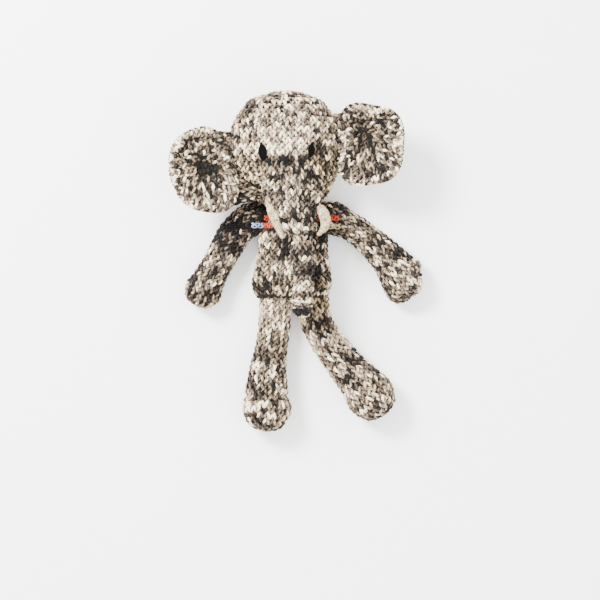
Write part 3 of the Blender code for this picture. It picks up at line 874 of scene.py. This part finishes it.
SHOULDER_IN = 33 * MM  # an arm's knitting starts this far inside the body
SHOULDER_UP = 12 * MM  # and this far towards the head
SHOULDER_WIDER = 0.26
HIP_IN = 33 * MM  # a leg's knitting starts this far inside the body
HAND_NOTCH = 13.0 * MM  # depth of the notch between the right hand's lobes
NOTCH_RADIUS = 8.0 * MM
NOTCH_AHEAD = 12 * MM  # where it is from the middle of the hand
NOTCH_ASIDE = 21 * MM
SHOULDER_BULGE = {"arm_left": 2.6 * MM}
HAND_BULGE = {"arm_left": 3.4 * MM, "arm_right": 5.8 * MM}
FOOT_CREASE = 2.2 * MM
FOOT_BULGE = 1.6 * MM
ROUND_CAP = {"narrow": math.inf, "rise": 0.55, "share": 0.80}
LIMB_BEND = 20 * MM  # an offset of this length along the limb, from its pivot
FAR_SHARE = 0.80  # how far out a limb's points must be to count for its direction
LEG_GAUGE = 1.12  # the legs are knitted a little more loosely


def lead_in(name, pivot):
    """The point inside the body that the limb starts from."""
    if name.startswith("arm"):
        inward = -math.copysign(SHOULDER_IN, pivot.x)
        return Vector((pivot.x + inward, pivot.y + SHOULDER_UP, pivot.z + 3 * MM))
    return Vector((pivot.x, pivot.y + HIP_IN, pivot.z))


def notched(grid, centre, ahead, side):
    """Two lobes at the far end, with a notch between them towards one side."""
    at = centre + ahead * NOTCH_AHEAD + side * NOTCH_ASIDE
    near = bell(np.linalg.norm((grid - at)[..., :2], axis=2), 0.0, NOTCH_RADIUS)
    pull = (centre - at) / np.linalg.norm(centre - at)
    return grid + pull * (HAND_NOTCH * near)[..., None]


def make_limb(name, seed):
    pivot = Vector(JOINTS[name + "_lift"]["pos_m"])
    tone_at = limb_tone(name)
    points = points_of(name + "_cover")
    root = np.array(pivot)
    reaches = np.linalg.norm(points - root, axis=1)
    axis = points[reaches > FAR_SHARE * reaches.max()].mean(0) - root
    axis /= np.linalg.norm(axis)
    far = root + axis * ((points - root) @ axis).max()
    far[2] = 0.5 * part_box(name + "_cover")[1].z
    centres, radii = tube_parts([name + "_cover"], pivot, far, columns=48)
    anchor = lead_in(name, pivot)
    steps = np.linspace(0, 1, 14)[:-1]
    lead = np.array([anchor + (pivot - anchor) * s for s in steps])
    skip = 3  # the first slices, through the ball of the joint
    centres = np.concatenate([lead, centres[skip:]])
    wider = SHOULDER_WIDER if name.startswith("arm") else 0.0
    swell = np.array([1 + wider * bell(s, 0.45, 0.4) - 0.8 * wider * (1 - s) ** 3 for s in steps])[:, None]
    radii = np.concatenate([np.repeat(radii[skip : skip + 1], len(lead), 0) * swell, radii[skip:]])
    free = smooth_rows(centres, 30)
    free[:3] = centres[:3]
    fade = np.clip((np.arange(len(centres)) - len(lead) - 12) / 10, 0, 1)[:, None]
    centres = free * (1 - fade) + centres * fade
    grid = tube_grid(centres, smooth_rows(radii, 2))
    ahead = (Vector(far) - pivot).normalized()
    if name == "arm_right":
        palm = np.array(far) - np.array(ahead) * 22 * MM
        grid = notched(grid, palm, np.array(ahead), np.array((-ahead.y, ahead.x, 0.0)))
    surface = Surface(grid)
    shares = (surface.place - surface.place[len(lead)]) / (surface.length - surface.place[len(lead)])
    push = HAND_BULGE.get(name, 0.0) * bell(shares, 0.84, 0.12)
    push = push + SHOULDER_BULGE.get(name, 0.0) * bell(shares, 0.08, 0.22)
    if name == "leg_left":
        push = FOOT_BULGE * bell(shares, 0.76, 0.08) - FOOT_CREASE * bell(shares, 0.635, 0.022)
    elif name == "leg_right":
        push = 0.6 * FOOT_BULGE * bell(shares, 0.76, 0.14)
    sideways = surface.normal * (1.0, 1.0, 0.35)
    grid = grid + sideways * push[:, None, None]
    surface = Surface(capped(grid) if name == "arm_right" else capped(grid, **ROUND_CAP))
    cut = surface.place[len(lead)]
    seam, root_nodes, nodes = name + "_seam", [name + "_seam"], [name + "_cover", name + "_stuffing"]
    parts = (
        (name + "_root_knit", 0.0, cut, "sleeve", seam, anchor, pivot, root_nodes),
        (name + "_knit", cut, surface.length, seam, name, pivot, pivot + ahead * LIMB_BEND, nodes),
    )
    gauge = LEG_GAUGE if name.startswith("leg") else 1.0
    for part, first, last, body_a, body_b, start, end, nodes in parts:
        yarn = Yarn(seed)
        knit(yarn, surface, part_tone(tone_at, surface, first, last), first, last,
             STITCH * gauge, ROW * gauge, YARN * (0.5 + 0.5 * gauge),
             flip=True, seed=seed * 0.37, closed_end=last == surface.length)
        blended(part, yarn, surface, nodes, body_a, body_b, start, end, first=first, last=last)
    return surface


TRUNK_FACE_START = 26 * MM  # the trunk's knitting starts this far above its pivot, under the brow
TRUNK_FACE_RISE = 3.2 * MM
TRUNK_BEND = Vector((0, 10 * MM, 0))
TRUNKWARD = (0, -1, 0)


def purl_tip(share):
    return share > 0.62


def make_trunk():
    covers = ["trunk_root_cover", "trunk_middle_cover", "trunk_tip_cover"]
    tip_lo, tip_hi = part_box("trunk_tip_cover")
    lift, swing, curl = (Vector(JOINTS["trunk_" + way]["pos_m"]) for way in ("lift", "swing", "curl"))
    start = (lift.x, lift.y - 3 * MM, lift.z)
    end = ((tip_lo.x + tip_hi.x) / 2, tip_lo.y, (tip_lo.z + tip_hi.z) / 2)
    centres, radii = tube_parts(covers, start, end, smooth=4, heading=TRUNKWARD)
    steps = np.linspace(1, 0, 16)[:-1]
    face = np.array([centres[0] + np.array((0, TRUNK_FACE_START * s, TRUNK_FACE_RISE * s)) for s in steps])
    wide = np.array([radii[0] * (1 - 0.10 * s) for s in steps])
    centres, radii = np.concatenate([face, centres]), np.concatenate([wide, radii])
    surface = Surface(capped(tube_grid(centres, smooth_rows(radii, 3), TRUNKWARD)))

    def along(y):
        return float(np.interp(-y, -surface.grid.mean(1)[:, 1], surface.place))

    ends = (0.0, along((lift.y + swing.y) / 2), along((swing.y + curl.y) / 2), surface.length)
    bodies = ("trunk_seam", "trunk_root", "trunk_middle", "trunk_tip")
    cap = Vector((0, 24 * MM, 0))
    parts = (
        ("trunk_face_knit", lift + cap, lift - cap * 0.5, ["trunk_seam"], None),
        ("trunk_upper_knit", swing + TRUNK_BEND, swing - TRUNK_BEND, [], None),
        ("trunk_lower_knit", curl + TRUNK_BEND, curl - TRUNK_BEND, [], purl_tip),
    )
    for k, (name, near, far, more, purl) in enumerate(parts):
        first, last, seed = ends[k], ends[k + 1], 21 + k
        yarn = Yarn(seed)
        knit(yarn, surface, part_tone(trunk_tone, surface, first, last), first, last,
             flip=True, contrast=0.22, seed=seed * 0.1, closed_end=last == surface.length, purl=purl)
        nodes = [bodies[k + 1] + "_cover", bodies[k + 1] + "_stuffing"] + more
        blended(name, yarn, surface, nodes, bodies[k], bodies[k + 1], near, far, first=first, last=last)


TUSK_TUCK = 7.0 * MM  # how far a tusk's root is moved in behind the trunk, and down
TUSK_SINK = 9.0 * MM
TUSK_LOWER = 2.5 * MM
TUSK_FATTER = {"tusk_left": 1.22, "tusk_right": 1.40}
TUSK_CAP = {"narrow": 1.6 * MM, "rise": 0.9}
TUSK_GAUGE = {"stitch": 3.4 * MM, "row": 3.0 * MM, "radius": 0.85 * MM, "sink": 1.1 * MM, "depth": 0.45 * MM}


def make_tusk(name, seed):
    points = points_of(name)
    order = points[:, 1].argsort()
    start, end = points[order[-8:]].mean(0), points[order[:8]].mean(0)
    centres, radii = tube_parts([name], start, end, columns=24, reach=0.03)
    tuck = np.linspace(1, 0, len(centres)) ** 1.5
    way = math.copysign(1.0, centres[0][0] - JOINTS["trunk_lift"]["pos_m"][0])
    centres = centres - np.outer(tuck, (way * TUSK_TUCK, 0, TUSK_SINK)) - (0, 0, TUSK_LOWER)
    surface = Surface(capped(tube_grid(centres, radii * TUSK_FATTER[name]), **TUSK_CAP))
    yarn = Yarn(seed)
    knit(yarn, surface, lambda t, s, p: (0.62 + 0 * s, 0.0), closed_end=True, closed_start=True,
         flip=True, contrast=0.2, **TUSK_GAUGE)
    finish_pieces(name + "_knit", yarn, surface, lambda made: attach(made, "trunk_root"), [name],
                  (IVORY, IVORY), "knit_cream", 0.9, depth=1.9 * MM)


EAR_COLUMNS = 72
EAR_LIFT = math.radians(12)
EAR_RIM = 6.2 * MM
# Share of the half width, and height in mm
EAR_FRONT = ((0.03, -5.6), (0.20, -5.2), (0.42, -3.2), (0.64, 0.2), (0.86, 4.0))
EAR_BACK = ((0.03, -14.5), (0.35, -13.5), (0.75, -9.5))
# Angles where the outline fills out towards the head, and by how much
EAR_CORNERS = {"ear_left": (-2.42,), "ear_right": (-2.35, 2.30)}
EAR_CORNER = {"ear_left": 0.36, "ear_right": 0.15}
EAR_HOLLOW = {"ear_left": (2 * MM, 8 * MM), "ear_right": (-8 * MM, 14 * MM)}  # where the dish is deepest
EAR_SQUARE = {"ear_left": (0.020, 0.4), "ear_right": (0.055, 0.75)}  # how square, and turned how far


def ear_surface(name, way):
    """Rings from the middle of the back, out round the rim and in to the middle of the dished front."""
    lo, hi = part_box(name)
    outward = np.array([way * math.cos(EAR_LIFT), 0, math.sin(EAR_LIFT)])
    normal = np.array([-way * math.sin(EAR_LIFT), 0, math.cos(EAR_LIFT)])
    centre = np.array((lo + hi) / 2)
    half_height = (hi.y - lo.y) / 2
    half_width = ((hi.x - lo.x) / 2 - EAR_RIM) / math.cos(EAR_LIFT) + 0.6 * MM
    profile = [(s, h * MM, 0.0) for s, h in EAR_BACK]
    for turn in np.radians(np.linspace(-115, 125, 13)):
        profile.append((1.0, EAR_RIM * math.sin(turn) + 1.2 * MM, EAR_RIM * math.cos(turn)))
    profile += [(s, h * MM, 0.0) for s, h in reversed(EAR_FRONT)]
    rings = []
    angles = ring_angles(EAR_COLUMNS)
    square, turned = EAR_SQUARE[name]
    outline = 1 + square * np.cos(4 * (angles - turned)) + 0.012 * np.sin(3 * angles + turned)
    for corner in EAR_CORNERS[name]:
        apart = (angles - corner + math.pi) % (2 * math.pi) - math.pi
        outline = outline + EAR_CORNER[name] * bell(apart, 0.0, 0.60)
    for share, lift, out in profile:
        wide = (half_width * share + out) * outline
        tall = ((half_height - EAR_RIM) * share + out) * outline
        wave = lift + 1.4 * MM * share * np.sin(2 * angles + 3 * turned)
        aside, higher = (c * (1 - share) * (lift > -0.012 or share < 0.5) for c in EAR_HOLLOW[name])
        shifted = centre + np.array((aside, higher, 0.0))
        ring = shifted + np.outer(np.cos(angles) * wide, outward)
        rings.append(ring + np.outer(np.sin(angles) * tall, HEADWARD) + np.outer(wave, normal))
    rings = np.array(rings)
    steps = np.concatenate([[0], np.cumsum(np.linalg.norm(np.diff(rings, axis=0), axis=2).mean(1))])
    fine = np.linspace(0, steps[-1], 100)
    threads = rings.reshape(len(rings), -1).T
    grid = np.array([np.interp(fine, steps, thread) for thread in threads]).T.reshape(100, EAR_COLUMNS, 3)
    return Surface(smooth_rows(grid, 3))


EAR_ROOT_DEPTH = 8.5 * MM
EAR_ROOT_SINK = 3.0 * MM  # how far the gathers lie below the ear's rim
EAR_ROOT_TALL = 0.40
EAR_ROOT_IN = 18 * MM  # the gathers run from this far inside the flap's hinge
EAR_ROOT_OUT = 10 * MM  # to this far outside it
EAR_ROOT_BEND = 12 * MM
EAR_ROOT_MORE = {"ear_left": (11 * MM, 6 * MM), "ear_right": (2 * MM, 2 * MM)}  # more reach down and up
EAR_ROOT_SKEW = {"ear_left": 22 * MM, "ear_right": 6 * MM}  # their lower part starts further in


def ear_root(name, way, seed):
    """The gathered knitting that joins the ear's inner edge to the head."""
    lo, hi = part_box(name)
    hinge = Vector(JOINTS[name + "_flap"]["pos_m"])
    inner = np.array((hinge.x - way * EAR_ROOT_IN, hinge.y, hinge.z - 6 * MM - EAR_ROOT_SINK))
    outer = np.array((hinge.x + way * EAR_ROOT_OUT, hinge.y, hinge.z + 1 * MM - EAR_ROOT_SINK))
    half = (hi.y - lo.y) * EAR_ROOT_TALL
    down, up = EAR_ROOT_MORE[name]
    angles = ring_angles(48)
    low, high = (np.clip(sign * np.cos(angles), 0, 1) ** 2 for sign in (-1, 1))
    grid = []
    for s in np.linspace(0, 1, 18):
        centre = inner + (outer - inner) * s
        centre[1] += half * 0.14 * (1 - s)
        tall = half * (0.74 + 0.20 * s)
        deep = EAR_ROOT_DEPTH * (1.0 - 0.25 * s)
        ring = centre + np.outer(np.cos(angles) * tall, HEADWARD) + np.outer(np.sin(angles) * deep, (0, 0, 1))
        ring -= np.outer(low, (way * EAR_ROOT_SKEW[name] * (1 - s), down, 0))
        grid.append(ring + np.outer(high, (0, up, 0)))
    surface = Surface(np.array(grid))
    yarn = Yarn(seed)
    bottom = surface.grid[..., 1].min()
    knit(yarn, surface, lambda t, s, p: (0.38 - 0.24 * bell(p[:, 1], bottom, 20 * MM), 0.3), seed=seed * 0.3)
    step = Vector((way * EAR_ROOT_BEND, 0, 0))
    blended(name + "_root_knit", yarn, surface, (), "head", name, hinge - step, hinge + step, fill=None)


def make_ear(name, way, seed):
    surface = ear_surface(name, way)
    yarn = Yarn(seed)
    knit(yarn, surface, ear_tone, seed=seed * 0.21)
    finish_pieces(name + "_knit", yarn, surface, lambda made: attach(made, name), [name], fill=0.4,
                  depth=3.4 * MM)
    ear_root(name, way, seed + 4)


# Felt eyes: share of the CAD eye's width and height, and how far each leans
EYE_SHAPE = {"eye_left": (1.0, 1.0, 8.0), "eye_right": (0.80, 0.86, -6.0)}
EYE_THICK = 1.2 * MM
EYE_PROUD = 0.7 * MM
EYE_CURVE = 55 * MM  # radius that the felt bends to
EYE_COLUMNS = 40
# Height in felt thicknesses, and share of the size
EYE_PROFILE = ((-0.8, 0.97), (0.2, 1.0), (0.62, 1.0), (0.88, 0.94), (1.0, 0.80), (1.04, 0.5), (1.06, 0.2))


def make_eye(name, head):
    """A thick felt almond, pointed at its top, laid on the face."""
    lo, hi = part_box(name)
    middle = (lo + hi) / 2
    grown, tall, lean = EYE_SHAPE[name]
    grid_points = head.grid.reshape(-1, 3)
    near = np.argmin(np.linalg.norm(grid_points[:, :2] - np.array(middle)[:2], axis=1) - grid_points[:, 2])
    normal = Vector(head.normal.reshape(-1, 3)[near]).normalized()
    seat = Vector(grid_points[near]) + normal * EYE_PROUD
    seat += (middle - seat) - normal * (middle - seat).dot(normal)
    across = Vector(HEADWARD).cross(normal).normalized()
    ahead = normal.cross(across)
    cos, sin = math.cos(math.radians(lean)), math.sin(math.radians(lean))
    side, along = across * cos + ahead * sin, ahead * cos - across * sin
    half_width = (hi.x - lo.x) / 2 * grown
    half_height = (hi.y - lo.y) / 2 * tall
    corners, ring = [], []
    for height, size in EYE_PROFILE:
        ring = []
        for k in range(EYE_COLUMNS):
            a = 2 * math.pi * k / EYE_COLUMNS
            up = math.sin(a)
            narrow = 1 - 0.62 * max(0.0, up) ** 1.4 - 0.10 * max(0.0, -up) ** 2
            place = side * half_width * math.cos(a) * narrow * size + along * half_height * up * size
            sag = place.length_squared / (2 * EYE_CURVE)
            ring.append(seat + place + normal * (height * EYE_THICK - sag))
        corners += [tuple(p) for p in ring]
    top = len(corners) - EYE_COLUMNS
    corners.append(tuple(sum(ring, Vector()) / EYE_COLUMNS))
    faces = ring_faces(len(EYE_PROFILE), EYE_COLUMNS)
    faces += [(top + k, top + (k + 1) % EYE_COLUMNS, len(corners) - 1) for k in range(EYE_COLUMNS)]
    faces.append(tuple(range(EYE_COLUMNS - 1, -1, -1)))
    made = add_mesh(name + "_felt", corners, faces, FELT)
    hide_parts(name)
    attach(made, "head")


# The collar's chain stitches: yarn, name, and shares of the CAD band's box from left to right and up
BAND_ROWS = (
    ("coral", "band_coral_upper", 0.10, 1.13, 0.96),
    ("pale", "band_pale", -0.07, 0.09, 0.29),
    ("coral", "band_coral_lower", 0.10, 0.23, 0.29),
    ("milk", "band_milk", 0.96, 1.15, 0.21),
)
BAND_STITCH = 6.6 * MM
BAND_ROW = 4.6 * MM
BAND_YARN = 1.05 * MM


def make_band(surfaces):
    """Two rows of coloured chain stitches across the neck, lying on the sleeve and on the arms' roots."""
    corners, faces = [], []
    for surface in surfaces:
        faces += ring_faces(*surface.grid.shape[:2], len(corners))
        corners += surface.grid.reshape(-1, 3).tolist()
    tree = BVHTree.FromPolygons(corners, faces)
    lo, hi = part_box("neck_band")
    for number, (colour, name, left, right, up) in enumerate(BAND_ROWS):
        first, last = lo.x + (hi.x - lo.x) * left, lo.x + (hi.x - lo.x) * right
        y = lo.y + (hi.y - lo.y) * up
        count = max(1, int(round((last - first) / BAND_STITCH)))
        phase = np.arange(count * SAMPLES + 1) * 2 * math.pi / SAMPLES
        yarn = Yarn(61 + number)
        across = first + (last - first) * (phase / (2 * math.pi) + LOOP_SWING * np.sin(2 * phase)) / count
        along = y + 0.5 * BAND_ROW * np.cos(phase)
        line = []
        for px, py, turn in zip(across, along, phase):
            hit = tree.ray_cast(Vector((px, py, 0.2)), Vector((0, 0, -1)))[0]
            line.append((px, py, 30 * MM if hit is None else hit.z))
        line = np.array(line)
        line[:, 2] = smooth_rows(line[:, 2:3], 6)[:, 0] + BAND_YARN * (0.6 - 0.7 * np.cos(2 * phase))
        ups = np.repeat([[0.0, 0.0, 1.0]], len(line), 0)
        size = BAND_YARN * (0.75 + 0.4 * np.sin(phase) ** 2)
        tone = 0.5 + 0.25 * yarn.random.normal(0, 1, len(line)).cumsum() / len(line) ** 0.5
        yarn.sweep(line, ups, size, tone, np.zeros(len(line)), False)
        made = yarn.make(name, BAND_YARNS[colour])
        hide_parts("neck_band")
        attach(made, "sleeve")


def make_pocket():
    """The knitted pocket inside the head that takes a finger."""
    lo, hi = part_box("finger_pocket")
    middle = (lo + hi) / 2
    start, end = (middle.x, lo.y, middle.z), (middle.x, hi.y - 2 * MM, middle.z)
    centres, radii = tube_parts(["finger_pocket"], start, end, columns=40, heading=HEADWARD)
    surface = Surface(tube_grid(centres, radii, HEADWARD))
    made = skin("pocket_lining", surface, SHADE_LINING, depth=0.4 * MM)
    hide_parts("finger_pocket")
    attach(made, "head")


HEAD_SURFACE = make_head()
BODY_SURFACE = make_body()
make_pocket()
make_trunk()
make_ear("ear_left", -1, 31)
make_ear("ear_right", 1, 32)
make_tusk("tusk_left", 41)
make_tusk("tusk_right", 42)
ARM_SURFACES = [make_limb("arm_left", 51), make_limb("arm_right", 52)]
make_limb("leg_left", 56)
make_limb("leg_right", 57)
make_band([BODY_SURFACE] + ARM_SURFACES)
make_eye("eye_left", HEAD_SURFACE)
make_eye("eye_right", HEAD_SURFACE)
